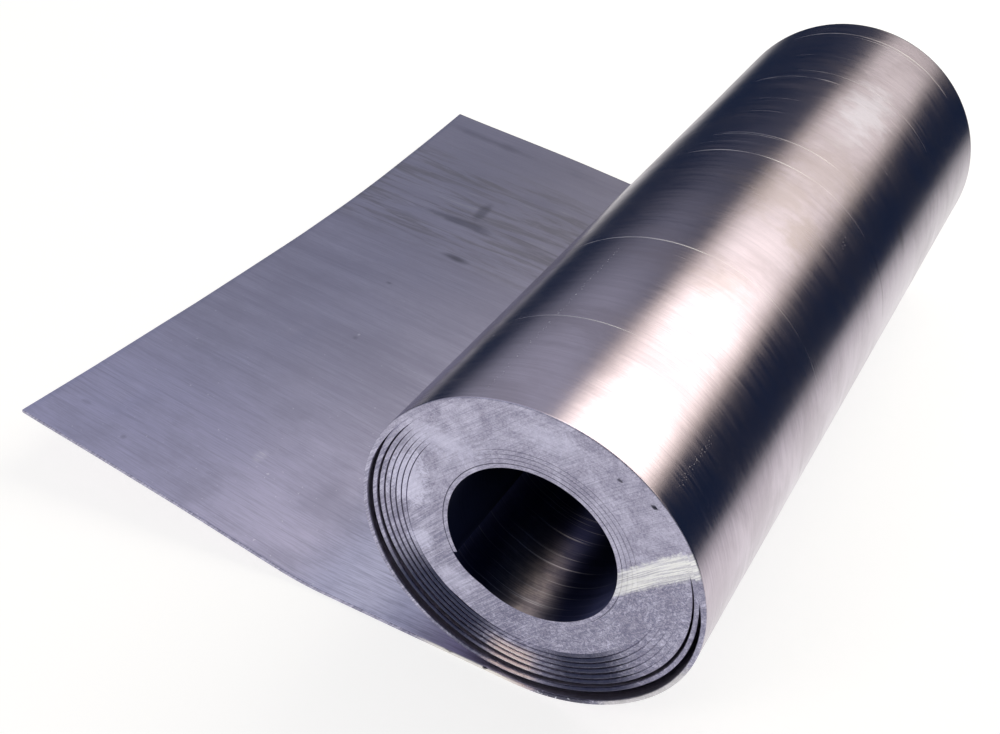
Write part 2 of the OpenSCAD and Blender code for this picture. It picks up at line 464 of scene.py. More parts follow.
class Nodes:
    """Short calls that add shader nodes to a tree."""

    def __init__(self, tree):
        self.tree = tree

    def add(self, kind, **settings):
        node = self.tree.nodes.new(kind)
        for key, value in settings.items():
            setattr(node, key, value)
        return node

    def link(self, value, socket):
        if hasattr(value, "is_linked"):
            self.tree.links.new(value, socket)
        else:
            socket.default_value = value

    def place(self):
        return self.add("ShaderNodeTexCoord").outputs["Object"]

    def parts(self, vector):
        node = self.add("ShaderNodeSeparateXYZ")
        self.link(vector, node.inputs[0])
        return node.outputs

    def scaled(self, vector, scale, shift=(0, 0, 0), turn=(0, 0, 0)):
        node = self.add("ShaderNodeMapping")
        self.link(vector, node.inputs["Vector"])
        node.inputs["Scale"].default_value = scale
        node.inputs["Location"].default_value = shift
        node.inputs["Rotation"].default_value = turn
        return node.outputs["Vector"]

    def noise(self, vector, detail=4.0, rough=0.5, distortion=0.0):
        node = self.add("ShaderNodeTexNoise")
        self.link(vector, node.inputs["Vector"])
        node.inputs["Scale"].default_value = 1.0
        node.inputs["Detail"].default_value = detail
        node.inputs["Roughness"].default_value = rough
        node.inputs["Distortion"].default_value = distortion
        return node.outputs["Fac"]

    def math(self, operation, a, b=0.0):
        node = self.add("ShaderNodeMath", operation=operation)
        for value, socket in zip((a, b), node.inputs):
            self.link(value, socket)
        return node.outputs[0]

    def plus(self, a, b):
        return self.math("ADD", a, b)

    def minus(self, a, b):
        return self.math("SUBTRACT", a, b)

    def times(self, a, b):
        return self.math("MULTIPLY", a, b)

    def over(self, a, b):
        return self.math("DIVIDE", a, b)

    def length(self, a, b):
        return self.math("SQRT", self.plus(self.times(a, a), self.times(b, b)))

    def either(self, *masks):
        """The strongest of several masks."""
        together = masks[0]
        for mask in masks[1:]:
            together = self.math("MAXIMUM", together, mask)
        return together

    def both(self, *masks):
        """Several masks and strengths, each weakening the others."""
        together = masks[0]
        for mask in masks[1:]:
            together = self.times(together, mask)
        return together

    def ramp(self, value, low, high, to_low=0.0, to_high=1.0):
        """Smooth change from one level to another, while the value goes from low to high."""
        node = self.add("ShaderNodeMapRange", interpolation_type="SMOOTHSTEP")
        self.link(value, node.inputs["Value"])
        for key, level in (("From Min", low), ("From Max", high), ("To Min", to_low), ("To Max", to_high)):
            node.inputs[key].default_value = level
        return node.outputs[0]

    def between(self, value, low, high, soft):
        """1 from low to high, and 0 outside, with soft ends."""
        rise = self.ramp(value, low - soft, low + soft)
        return self.both(rise, self.ramp(value, high - soft, high + soft, 1.0, 0.0))

    def close(self, value, middle, reach):
        """1 at the middle, and 0 a reach away from it."""
        return self.ramp(self.math("ABSOLUTE", self.minus(value, middle)), 0.0, reach, 1.0, 0.0)

    def spot(self, u, v, middle, size, wobble, soft):
        """A soft-edged spot, 1 at its middle and 0 outside it."""
        du = self.over(self.minus(u, middle[0]), size[0])
        dv = self.over(self.minus(v, middle[1]), size[1])
        return self.ramp(self.plus(self.length(du, dv), wobble), 1 - soft, 1 + soft, 1.0, 0.0)

    def spots(self, u, v, listed, wobble):
        """Several spots, each listed by its middle, its size, how soft it is and its strength."""
        made = []
        for u_middle, v_middle, u_size, v_size, soft, strength in listed:
            spot = self.spot(u, v, (u_middle, v_middle), (u_size, v_size), wobble, soft)
            made.append(self.both(spot, strength))
        return self.either(*made)

    def blend(self, share, a, b):
        node = self.add("ShaderNodeMix", data_type="RGBA")
        for key, value in ((0, share), (6, a), (7, b)):
            self.link(value, node.inputs[key])
        return node.outputs[2]

    def bump(self, height, distance, strength, under=None):
        node = self.add("ShaderNodeBump")
        self.link(height, node.inputs["Height"])
        node.inputs["Distance"].default_value = distance
        node.inputs["Strength"].default_value = strength
        if under is not None:
            self.link(under, node.inputs["Normal"])
        return node.outputs["Normal"]


class Finish(Nodes):
    """The nodes of one material, round its shader."""

    def __init__(self, name):
        self.material = bpy.data.materials.new(name)
        self.material.use_nodes = True
        super().__init__(self.material.node_tree)
        self.shader = self.tree.nodes["Principled BSDF"]
        self.output = self.tree.nodes["Material Output"]

    def strip_map(self):
        return self.add("ShaderNodeUVMap", uv_map="strip").outputs["UV"]

    def edge_map(self):
        return self.add("ShaderNodeUVMap", uv_map="edge").outputs["UV"]

    def finish(self, colour, roughness, normal):
        self.link(colour, self.shader.inputs["Base Color"])
        self.link(roughness, self.shader.inputs["Roughness"])
        self.link(normal, self.shader.inputs["Normal"])
        self.shader.inputs["Metallic"].default_value = 1.0
        return self.material


# The outermost face. Rubs round it: place across the strip, first and last angle, width, strength
RUBS = [
    (0.0676, 84, 121, 0.0005, 0.8),
    (0.1437, 82, 124, 0.0006, 1.0),
    (0.1442, 15, 84, 0.0004, 0.35),
    (0.2478, 70, 114, 0.0006, 0.9),
    (0.2482, 40, 72, 0.0004, 0.35),
    (0.2600, 92, 116, 0.0004, 0.25),
    (0.2700, 88, 113, 0.0005, 0.6),
    (0.2718, 66, 108, 0.0007, 0.5),
    (0.3028, 92, 112, 0.0005, 0.35),
    (0.3220, 90, 110, 0.0004, 0.25),
    (0.3450, 58, 86, 0.0004, 0.25),
    (0.3564, 86, 116, 0.0007, 0.7),
    (0.3669, 38, 104, 0.0005, 0.55),
    (0.3930, 84, 110, 0.0005, 0.3),
    (0.4280, 60, 90, 0.0005, 0.45),
    (0.4315, 46, 116, 0.0009, 0.75),
]
# Dull patches on it: angle, place across, length, width, softness and strength
DULL_PATCHES = [
    (73, 0.131, 0.009, 0.012, 0.8, 0.45),
    (61, 0.200, 0.009, 0.014, 0.8, 0.7),
    (77, 0.222, 0.016, 0.020, 0.9, 0.6),
    (66, 0.262, 0.020, 0.026, 0.9, 0.5),
]
MILL_GREY = (0.555, 0.487, 0.560, 1)
MILL_PALE = (0.62, 0.545, 0.625, 1)
MILL_PATCH = (0.43, 0.37, 0.42, 1)
MILL_BRUSHED = (0.40, 0.35, 0.41, 1)
MILL_DULL = (0.42, 0.355, 0.35, 1)
MILL_PAINTED_HIGHLIGHT = (0.76, 0.75, 0.86, 1)
MILL_SCORED_AND_CREASE_SHADE = (0.20, 0.17, 0.20, 1)
MILL_RUBBED = (0.86, 0.84, 0.84, 1)


def roll_face_finish():
    """Bright as it leaves the mill, with fine brushing along the strip and rubs from handling."""
    n = Finish("mill_finished_lead")
    strip_at = n.strip_map()
    u, v, _ = n.parts(strip_at)
    brushing = n.noise(n.scaled(strip_at, (26, 1500, 1)), detail=4, rough=0.6)
    streaks = n.noise(n.scaled(strip_at, (7, 260, 1)), detail=5, rough=0.7)
    patches = n.noise(n.scaled(strip_at, (20, 24, 1)), detail=6, rough=0.62, distortion=0.6)
    blotches = n.noise(n.scaled(strip_at, (70, 90, 1), shift=(3, 1, 0)), detail=5, rough=0.65)
    wobble = n.ramp(blotches, 0.3, 0.7, -0.6, 0.6)
    dull = n.spots(u, v, [(along_at(angle), *rest) for angle, *rest in DULL_PATCHES], wobble)
    # A painted highlight: a pale patch laid into the far part of the long highlight
    painted_highlight = n.spot(u, v, (along_at(69), 0.338), (0.010, 0.026), wobble, 0.9)
    rubs = []
    for across, first, last, wide, strength in RUBS:
        starts, ends = along_at(first), along_at(last)
        line = n.both(n.close(v, across, wide), strength, n.ramp(u, starts - 0.006, starts + 0.006))
        rubs.append(n.both(line, n.ramp(u, ends - 0.004, ends + 0.010, 1.0, 0.0)))
    broken = n.ramp(n.noise(n.scaled(strip_at, (60, 900, 1)), detail=2), 0.3, 0.6, 0.3, 1.0)
    # Rows of small knocks across the roll, a scored line, and painted shade along a crease where the sheet
    # turns down
    dots = n.ramp(n.noise(n.scaled(strip_at, (1100, 1000, 1)), detail=1), 0.62, 0.70)
    knocks = n.both(dots, n.either(
        n.both(n.close(u, along_at(109), 0.0012), n.between(v, 0.012, 0.130, 0.006)),
        n.both(n.close(u, along_at(47.5), 0.0024), n.between(v, 0.014, 0.048, 0.006), 0.75),
        n.both(n.close(u, along_at(47), 0.0025), n.between(v, 0.222, 0.230, 0.003), 0.75),
    ))
    rubbed = n.either(n.both(n.either(*rubs), broken), knocks)
    drift = n.plus(v, n.times(n.minus(u, along_at(20)), 0.05))
    scored = n.both(n.close(drift, 0.2492, 0.0008), n.between(u, along_at(6), along_at(35), 0.004))
    crease_shade = n.both(n.close(v, 0.2915, 0.0045), n.between(u, along_at(21), along_at(31), 0.006))
    colour = n.blend(n.ramp(streaks, 0.3, 0.7), MILL_GREY, MILL_PALE)
    colour = n.blend(n.ramp(patches, 0.40, 0.68, 0.0, 0.55), colour, MILL_PATCH)
    colour = n.blend(n.ramp(brushing, 0.45, 0.75, 0.0, 0.28), colour, MILL_BRUSHED)
    colour = n.blend(n.both(dull, 0.85), colour, MILL_DULL)
    colour = n.blend(n.both(painted_highlight, 0.55), colour, MILL_PAINTED_HIGHLIGHT)
    # The scored line is darkened, and the crease gets painted shade
    colour = n.blend(n.both(n.either(scored, crease_shade), 0.6), colour, MILL_SCORED_AND_CREASE_SHADE)
    colour = n.blend(rubbed, colour, MILL_RUBBED)
    roughness = n.plus(n.ramp(brushing, 0.3, 0.7, 0.13, 0.23), n.ramp(patches, 0.4, 0.7, 0.0, 0.05))
    roughness = n.plus(roughness, n.both(dull, 0.05))
    roughness = n.plus(roughness, n.both(rubbed, 0.35))
    normal = n.bump(brushing, 0.00002, 0.4, n.bump(patches, 0.0002, 0.35))
    return n.finish(colour, roughness, normal)


# The cut edges. Places wiped flat and bright, and nicks and specks of dirt: each by its place to
# the right of the bore's axis and above it, its width and height, its softness and its strength
WIPED_FLAT = [
    (-0.0600, 0.0100, 0.0085, 0.0140, 0.3, 0.6),
    (-0.0420, 0.0370, 0.0140, 0.0060, 0.8, 0.5),
    (0.0020, 0.0600, 0.0120, 0.0050, 0.8, 0.4),
    (-0.0530, -0.0220, 0.0060, 0.0050, 0.5, 0.5),
    (-0.0350, -0.0380, 0.0080, 0.0060, 0.5, 0.4),
]
NICKS = [
    (0.0497, 0.0492, 0.0014, 0.0009, 0.4, 1.0),
    (0.0340, 0.0548, 0.0011, 0.0008, 0.4, 0.8),
    (-0.0135, -0.0812, 0.0012, 0.0016, 0.4, 1.0),
    (-0.0330, -0.0810, 0.0022, 0.0010, 0.4, 0.7),
]
# Slopes of the wipes on the right and of the scratches low on the left, and how far under the
# bore's axis the loose turns have their middle
WIPE_SLOPE = radians(44.4)
SCRATCH_SLOPE = radians(52)
LOOSE_DROP = 0.003
EDGE_GREY = (0.33, 0.31, 0.42, 1)
EDGE_PALE = (0.54, 0.52, 0.66, 1)
GRAIN_PALE = (0.66, 0.65, 0.77, 1)
GRAIN_DARK = (0.17, 0.16, 0.24, 1)
VEIN_DARK = (0.17, 0.17, 0.27, 1)
CRACKLE_DARK = (0.13, 0.13, 0.22, 1)
SMEAR_PALE = (0.74, 0.73, 0.92, 1)
SCRATCH_DARK = (0.18, 0.18, 0.28, 1)
SCRATCH_PALE = (0.68, 0.66, 0.82, 1)
WIPE_DARK = (0.22, 0.22, 0.31, 1)
WIPE_PALE = (0.66, 0.65, 0.80, 1)
FLAT_PALE = (0.72, 0.71, 0.88, 1)
JOINT_DARK = (0.08, 0.08, 0.12, 1)
BURNISHED = (0.95, 0.95, 0.93, 1)
PAINTED_DARK_REFLECTION = (0.015, 0.02, 0.055, 1)
RIM_SHEEN_LEFT = (0.14, 0.16, 0.26, 1)
RIM_SHEEN_RIGHT = (0.32, 0.33, 0.46, 1)
OUTERMOST_SHADE = (0.07, 0.07, 0.10, 1)
SCUFF_PALE = (0.75, 0.76, 0.82, 1)
GLINT_WARM = (0.66, 0.52, 0.50, 1)
GLINT_WHITE = (1.0, 0.96, 0.94, 1)
OUTER_EDGE_CREAM = (0.98, 0.95, 0.88, 1)
DIRT = (0.03, 0.03, 0.05, 1)


def cut_edge_finish():
    """Sheared edges, wiped and scuffed until the turns smear into each other."""
    n = Finish("sheared_lead_edge")
    at = n.place()
    x, _, z = n.parts(at)
    along, outwards, _ = n.parts(n.edge_map())
    grain = n.noise(n.scaled(at, (1300, 1300, 1300)), detail=5, rough=0.7)
    mottle = n.noise(n.scaled(at, (70, 70, 70)), detail=7, rough=0.7, distortion=1.2)
    smear = n.noise(n.scaled(at, (190, 190, 190), shift=(2, 0, 5)), detail=7, rough=0.7, distortion=2.0)
    cracks = n.noise(n.scaled(at, (420, 420, 420), shift=(6, 0, 1)), detail=5, rough=0.6, distortion=1.5)
    veins, crackle = n.close(smear, 0.5, 0.055), n.close(cracks, 0.5, 0.045)
    sloped = n.scaled(at, (1, 1, 1), turn=(0, WIPE_SLOPE, 0))
    wipes = n.noise(n.scaled(sloped, (50, 50, 2200)))
    sloped = n.scaled(at, (1, 1, 1), turn=(0, SCRATCH_SLOPE, 0))
    scratches = n.noise(n.scaled(sloped, (45, 60, 1900), shift=(4, 0, 3)))
    wobble = n.ramp(smear, 0.3, 0.7, -0.5, 0.5)
    lower_left = n.ramp(n.plus(x, z), -0.055, -0.03, 1.0, 0.0)
    lower_right = n.ramp(n.minus(x, n.times(z, 1.2)), 0.02, 0.05)
    colour = n.blend(n.ramp(mottle, 0.34, 0.66), EDGE_GREY, EDGE_PALE)
    colour = n.blend(n.ramp(grain, 0.40, 0.65, 0.0, 0.5), colour, GRAIN_PALE)
    colour = n.blend(n.ramp(grain, 0.30, 0.45, 0.45, 0.0), colour, GRAIN_DARK)
    colour = n.blend(n.both(veins, n.plus(n.both(lower_right, 0.5), 0.25)), colour, VEIN_DARK)
    colour = n.blend(n.both(crackle, n.plus(n.both(lower_right, 0.5), 0.15)), colour, CRACKLE_DARK)
    colour = n.blend(n.both(lower_right, n.ramp(smear, 0.56, 0.68), 0.55), colour, SMEAR_PALE)
    colour = n.blend(n.both(lower_left, n.ramp(scratches, 0.48, 0.62, 0.0, 0.5)), colour, SCRATCH_DARK)
    colour = n.blend(n.both(lower_left, n.ramp(scratches, 0.45, 0.36, 0.0, 0.4)), colour, SCRATCH_PALE)
    colour = n.blend(n.ramp(wipes, 0.52, 0.62, 0.0, 0.35), colour, WIPE_DARK)
    colour = n.blend(n.ramp(wipes, 0.44, 0.36, 0.0, 0.2), colour, WIPE_PALE)
    colour = n.blend(n.spots(x, z, WIPED_FLAT, wobble), colour, FLAT_PALE)
    # The lines between the innermost turns
    innermost = LOOSE_TURNS + TIGHT_TURNS - 1
    first, fourth = start_of_turn(innermost), start_of_turn(innermost - 3)
    joint = n.ramp(outwards, 0.55, 0.95)
    upper_right = n.both(n.ramp(n.plus(x, z), 0.005, 0.030), n.ramp(z, -0.01, 0.01))
    joints = n.either(
        n.both(joint, n.ramp(along, first - 0.01, first), n.ramp(z, -0.034, -0.022)),
        n.both(joint, n.ramp(along, fourth, fourth + 0.05), upper_right, 0.55),
    )
    colour = n.blend(joints, colour, JOINT_DARK)
    # One hard wipe outwards over the right of the end has left a burnished band
    aside = n.minus(n.times(z, cos(WIPE_SLOPE)), n.times(x, sin(WIPE_SLOPE)))
    out = n.plus(n.times(z, sin(WIPE_SLOPE)), n.times(x, cos(WIPE_SLOPE)))
    half_width = n.ramp(out, 0.025, 0.068, 0.0058, 0.0064)
    away = n.over(n.math("ABSOLUTE", n.plus(aside, 0.0280)), half_width)
    band = n.both(
        n.ramp(n.plus(away, n.times(wobble, 0.3)), 0.7, 1.1, 1.0, 0.0),
        n.ramp(out, 0.020, 0.042, 0.6, 1.0),
        n.ramp(x, 0.03, 0.036),
        n.ramp(wipes, 0.40, 0.62, 1.0, 0.45),
        n.ramp(mottle, 0.3, 0.6, 1.0, 0.9),
    )
    colour = n.blend(band, colour, BURNISHED)
    # Low down, the loose turns' rounded edges get a painted dark reflection, with a painted sheen on their
    # rims and one painted warm glint
    dropped = n.plus(z, LOOSE_DROP)
    angle = n.plus(n.math("ARCTAN2", dropped, x), n.times(wobble, 0.08))
    radius = n.length(x, dropped)
    second, tight = start_of_turn(1), start_of_turn(LOOSE_TURNS)
    outer_edge = n.ramp(along, second - 0.02, second, 1.0, 0.0)
    loose = n.both(
        n.ramp(along, second - 0.05, second),
        n.ramp(along, tight - 0.05, tight + 0.25, 1.0, 0.0),
    )
    # rim: where a painted sheen runs along each turn's rim
    rim = n.both(n.ramp(outwards, 0.45, 0.95), n.ramp(grain, 0.35, 0.6, 0.2, 1.0))
    shade = n.either(n.between(angle, -2.66, -1.80, 0.22), n.between(angle, -1.32, -0.68, 0.2))
    # The painted dark reflection, with the painted rim sheen paler on the right
    painted_reflection = n.blend(rim, PAINTED_DARK_REFLECTION, n.blend(n.ramp(x, -0.03, 0.02), RIM_SHEEN_LEFT, RIM_SHEEN_RIGHT))
    colour = n.blend(n.both(loose, shade, 0.92), colour, painted_reflection)
    # A stretch of the outermost edge, low on the right, gets painted shade with pale scuffs in it
    outermost = n.both(outer_edge, n.between(angle, -1.42, -1.05, 0.08))
    scuffed_shade = n.blend(n.ramp(smear, 0.56, 0.62), OUTERMOST_SHADE, SCUFF_PALE)
    colour = n.blend(n.both(outermost, 0.85), colour, scuffed_shade)
    # The painted warm glint, streaked along the rims
    glint = n.both(n.between(angle, -1.76, -1.44, 0.08), n.between(radius, 0.060, 0.0815, 0.003))
    glint_streak = n.both(n.ramp(outwards, -0.1, 0.7), n.ramp(grain, 0.35, 0.6, 0.4, 1.0))
    colour = n.blend(n.both(glint, 0.9), colour, n.blend(glint_streak, GLINT_WARM, GLINT_WHITE))
    # The outermost edge is made bright cream low down and on the right, before and after its stretch of
    # painted shade
    rubbed = n.either(
        n.both(n.between(x, -0.046, 0.002, 0.008), n.ramp(z, -0.080, -0.078, 1.0, 0.0), 0.8),
        n.both(n.between(angle, -0.98, -0.30, 0.08), 0.5),
    )
    colour = n.blend(n.both(outer_edge, rubbed), colour, OUTER_EDGE_CREAM)
    colour = n.blend(n.spots(x, z, NICKS, wobble), colour, DIRT)
    roughness = n.minus(n.ramp(mottle, 0.3, 0.7, 0.5, 0.38), n.both(glint, 0.16))
    normal = n.bump(grain, 0.00008, 0.6)
    normal = n.bump(n.both(smear, lower_right), 0.0006, 0.7, normal)
    normal = n.bump(n.plus(mottle, wipes), 0.0002, 0.5, normal)
    return n.finish(colour, roughness, normal)


# The free end's upper face. Dark marks on it: place from the cut end, place across, length, width,
# softness and strength
MARKS = [
    (0.079, 0.347, 0.003, 0.009, 0.7, 0.7),
    (0.070, 0.325, 0.020, 0.003, 0.8, 0.8),
    (0.045, 0.432, 0.022, 0.003, 0.8, 0.5),
    (0.074, 0.233, 0.002, 0.0014, 0.7, 0.6),
    (0.089, 0.172, 0.002, 0.002, 0.7, 0.5),
    (0.048, 0.019, 0.0014, 0.0014, 0.7, 0.4),
    (0.017, 0.027, 0.002, 0.001, 0.7, 0.3),
    (0.150, 0.057, 0.006, 0.010, 0.9, 0.25),
]
SATIN_GREY = (0.36, 0.345, 0.455, 1)
SATIN_PALE = (0.45, 0.435, 0.56, 1)
NEAR_PALE = (0.50, 0.48, 0.66, 1)
BY_ROLL_PALE = (0.80, 0.78, 0.93, 1)
FAR_GREY = (0.35, 0.34, 0.43, 1)
CLOUD_GREY = (0.31, 0.305, 0.41, 1)
LINE_GREY = (0.29, 0.285, 0.385, 1)
FINE_GREY = (0.30, 0.295, 0.40, 1)
STAIN = (0.19, 0.185, 0.21, 1)
SWIRL_PALE = (0.52, 0.51, 0.56, 1)
MARK_DARK = (0.13, 0.13, 0.17, 1)
SPECK_PALE = (0.78, 0.77, 0.85, 1)


def upper_face_finish():
    """The face that was wound inwards: duller, with streaks along the strip and a few stains."""
    n = Finish("satin_lead")
    strip_at = n.strip_map()
    u, v, _ = n.parts(strip_at)
    fine = n.noise(n.scaled(strip_at, (60, 1300, 1)), detail=4, rough=0.65)
    lines = n.noise(n.scaled(strip_at, (9, 420, 1), shift=(0.3, 0, 0)), detail=5, rough=0.65)
    streaks = n.noise(n.scaled(strip_at, (5, 70, 1)), detail=6, rough=0.65, distortion=0.15)
    stained_at = n.scaled(strip_at, (14, 130, 1), shift=(0.7, 1.3, 0))
    stains = n.noise(stained_at, detail=7, rough=0.68, distortion=0.5)
    cloud = n.noise(n.scaled(strip_at, (22, 26, 1), shift=(5, 2, 0)), detail=7, rough=0.65)
    dust = n.ramp(n.noise(n.scaled(strip_at, (420, 420, 1), shift=(1, 7, 0)), detail=2), 0.70, 0.76)
    wobble = n.ramp(cloud, 0.3, 0.7, -0.6, 0.6)
    stained = n.both(n.between(v, 0.285, 0.400, 0.022), n.ramp(stains, 0.44, 0.62))
    swirl = n.both(n.between(v, 0.325, 0.395, 0.015), n.ramp(stains, 0.40, 0.34), n.ramp(u, 0.03, 0.06))
    scrape = n.spot(u, v, (0.093, 0.285), (0.009, 0.0035), n.times(wobble, 0.5), 0.6)
    marks = n.either(scrape, n.spots(u, v, MARKS, wobble))
    specks = n.either(
        n.both(n.spot(u, v, (0.107, 0.055), (0.0018, 0.0035), wobble, 0.9), n.ramp(fine, 0.45, 0.6), 0.6),
        n.both(n.spot(u, v, (0.089, 0.176), (0.0009, 0.0012), wobble, 0.6), 0.6),
        n.both(dust, n.ramp(v, 0.10, 0.20, 0.5, 0.1)),
    )
    by_roll = n.both(n.ramp(v, 0.05, 0.12, 1.0, 0.0), n.ramp(u, 0.150, 0.200))
    colour = n.blend(n.ramp(streaks, 0.3, 0.7), SATIN_GREY, SATIN_PALE)
    colour = n.blend(n.ramp(v, 0.02, 0.16, 0.75, 0.0), colour, NEAR_PALE)
    colour = n.blend(n.both(by_roll, 0.8), colour, BY_ROLL_PALE)
    colour = n.blend(n.ramp(v, 0.26, 0.38, 0.0, 0.6), colour, FAR_GREY)
    colour = n.blend(n.ramp(cloud, 0.42, 0.70, 0.0, 0.5), colour, CLOUD_GREY)
    colour = n.blend(n.ramp(lines, 0.48, 0.66, 0.0, 0.35), colour, LINE_GREY)
    colour = n.blend(n.ramp(fine, 0.40, 0.66, 0.0, 0.4), colour, FINE_GREY)
    colour = n.blend(n.both(stained, 0.6), colour, STAIN)
    colour = n.blend(n.both(swirl, 0.5), colour, SWIRL_PALE)
    colour = n.blend(n.both(marks, 0.8), colour, MARK_DARK)
    colour = n.blend(specks, colour, SPECK_PALE)
    roughness = n.plus(n.ramp(cloud, 0.3, 0.7, 0.36, 0.43), n.ramp(fine, 0.3, 0.7, 0.0, 0.06))
    roughness = n.plus(roughness, n.both(stained, 0.06))
    normal = n.bump(fine, 0.00003, 0.6, n.bump(cloud, 0.0003, 0.4))
    return n.finish(colour, roughness, normal)


# The bore's wall, in painted shade of dark navy. The strip's last stretch gets a darker painted shadow,
# and a painted glow low inside each mouth climbs the wall with its depth
SHADOW_LENGTH = 0.125
GLOW_CLIMB = 4.4
BORE_SHADE_NAVY = (0.030, 0.036, 0.10, 1)
BORE_SHADE_BLUE = (0.055, 0.06, 0.14, 1)
BORE_GLOW_DIM = (0.50, 0.44, 0.43, 1)
BORE_GLOW_BRIGHT = (0.76, 0.68, 0.66, 1)
BORE_SCRATCH_SHEEN = (0.80, 0.78, 0.82, 1)
BORE_SHADOW = (0.006, 0.008, 0.024, 1)


def bore_finish():
    """The bore's wall in painted dark shade, scratched round, with a painted glow low down inside its
    mouths.
    """
    n = Finish("bore_lead")
    strip_at = n.strip_map()
    along, _, _ = n.parts(strip_at)
    x, y, z = n.parts(n.place())
    angle = n.math("ARCTAN2", z, x)
    inwards = n.minus(WIDTH / 2, n.math("ABSOLUTE", y))
    fine = n.noise(n.scaled(strip_at, (6, 1600, 1)))
    rings = n.noise(n.scaled(strip_at, (12, 700, 1), shift=(1, 4, 0)), detail=5)
    patches = n.noise(n.scaled(strip_at, (90, 110, 1), shift=(2, 5, 0)), detail=5, rough=0.65)
    scratched = n.ramp(rings, 0.58, 0.67)
    # rubbed: the painted glow low inside each mouth
    rubbed = n.both(
        n.close(n.plus(angle, n.times(inwards, GLOW_CLIMB)), radians(-94), radians(32)),
        n.ramp(inwards, 0.014, 0.062, 1.0, 0.0),
        n.ramp(patches, 0.35, 0.62, 0.55, 1.0),
    )
    near_glow = n.both(n.close(angle, radians(-98), radians(48)), n.ramp(inwards, 0.035, 0.100, 1.0, 0.0))
    wall = n.blend(n.ramp(fine, 0.3, 0.7), BORE_SHADE_NAVY, BORE_SHADE_BLUE)
    colour = n.blend(rubbed, wall, n.blend(n.ramp(fine, 0.3, 0.7), BORE_GLOW_DIM, BORE_GLOW_BRIGHT))
    # The scratches take a painted sheen, mostly near the glow
    colour = n.blend(n.both(scratched, n.ramp(near_glow, 0.0, 1.0, 0.12, 0.8)), colour, BORE_SCRATCH_SHEEN)
    # The painted shadow over the strip's last stretch
    shadow_start = PLACES[-1].along - SHADOW_LENGTH
    colour = n.blend(n.ramp(along, shadow_start, shadow_start + 0.02), colour, BORE_SHADOW)
    roughness = n.plus(n.ramp(fine, 0.3, 0.7, 0.44, 0.54), n.both(scratched, 0.06))
    tangent = n.add("ShaderNodeTangent", direction_type="UV_MAP", uv_map="strip")
    n.link(tangent.outputs[0], n.shader.inputs["Tangent"])
    n.shader.inputs["Anisotropic"].default_value = 1.0
    n.shader.inputs["Anisotropic Rotation"].default_value = 0.25
    return n.finish(colour, roughness, n.bump(fine, 0.00003, 0.6))


for finish in (roll_face_finish, cut_edge_finish, upper_face_finish, bore_finish):
    strip.data.materials.append(finish())
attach(strip, "root")
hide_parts("lead_strip")

# The floor. A plain pale studio floor, laid flat under the roll, whose shadow it keeps. The camera
# and the lead see it as white.
FLOOR_REACH = 4.0
FLOOR_SIDES = 64
FLOOR_GREY = (0.8, 0.8, 0.8, 1)
FLOOR_HALF_GREY = (0.4, 0.4, 0.4, 1)
# Its glow rises outwards, to meet the white of the room
FLOOR_GLOW = (0.72, 1.02)
FLOOR_GLOW_REACH = (0.7, 2.8)


def to_the_eye(n):
    """1 for what the camera sees, also in reflections or through glass, and 0 for other light."""
    light = n.add("ShaderNodeLightPath")
    return n.either(*(light.outputs[f"Is {kind} Ray"] for kind in ("Camera", "Glossy", "Transmission")))


def mixed(n, share, first, second):
    mix = n.add("ShaderNodeMixShader")
    for socket, value in zip(mix.inputs, (share, first.outputs[0], second.outputs[0])):
        n.link(value, socket)
    n.link(mix.outputs[0], n.output.inputs["Surface"])


def floor_finish():
    n = Finish("studio_floor")
    n.tree.nodes.remove(n.shader)
    lit = n.add("ShaderNodeBsdfDiffuse")
    lit.inputs["Color"].default_value = FLOOR_GREY
    half_lit = n.add("ShaderNodeBsdfDiffuse")
    half_lit.inputs["Color"].default_value = FLOOR_HALF_GREY
    glow = n.add("ShaderNodeEmission")
    x, y, _ = n.parts(n.place())
    n.link(n.ramp(n.length(x, y), *FLOOR_GLOW_REACH, *FLOOR_GLOW), glow.inputs["Strength"])
    white = n.add("ShaderNodeAddShader")
    n.link(half_lit.outputs[0], white.inputs[0])
    n.link(glow.outputs[0], white.inputs[1])
    mixed(n, to_the_eye(n), lit, white)
    return n.material


floor_mesh = bpy.data.meshes.new("floor")
rim = [FLOOR_REACH * direction(tau * i / FLOOR_SIDES) for i in range(FLOOR_SIDES)]
floor_mesh.from_pydata([(*point, FLOOR) for point in rim], [], [tuple(range(FLOOR_SIDES))])
floor_mesh.materials.append(floor_finish())
floor = bpy.data.objects.new("floor", floor_mesh)
bpy.context.scene.collection.objects.link(floor)

# The room. White all round to the camera and in reflections, and at a plain level for the light
# that falls on the lead and the floor.
ROOM_LEVEL = 0.4
world = bpy.data.worlds.new("room")
bpy.context.scene.world = world
world.use_nodes = True
n = Nodes(world.node_tree)
background = n.tree.nodes["Background"]
background.inputs["Color"].default_value = (1, 1, 1, 1)
n.link(n.ramp(to_the_eye(n), 0.0, 1.0, ROOM_LEVEL, 1.0), background.inputs["Strength"])

# The dark cloths. Bright metal is photographed in a tent of dark cloth, which gives it its dark
# bands: a canopy that glows high up on the left and a little overhead, and cloth laid over the
# floor away from the roll. Only the lead's reflections see them.
CANOPY_REACH = 3.6
CANOPY_ROWS, CANOPY_COLUMNS = 16, 48
NAVY = (0.008, 0.018, 0.046, 1)
CLOTH_GLOW = (0.90, 0.94, 1.07, 1)
CLOTH_LIFT = 0.0005


def cloth_finish(name):
    """Dark blue cloth, whose glow stands for the light that falls on it."""
    n = Finish(name)
    n.tree.nodes.remove(n.shader)
    glow = n.add("ShaderNodeEmission")
    return n, glow, n.parts(n.place())


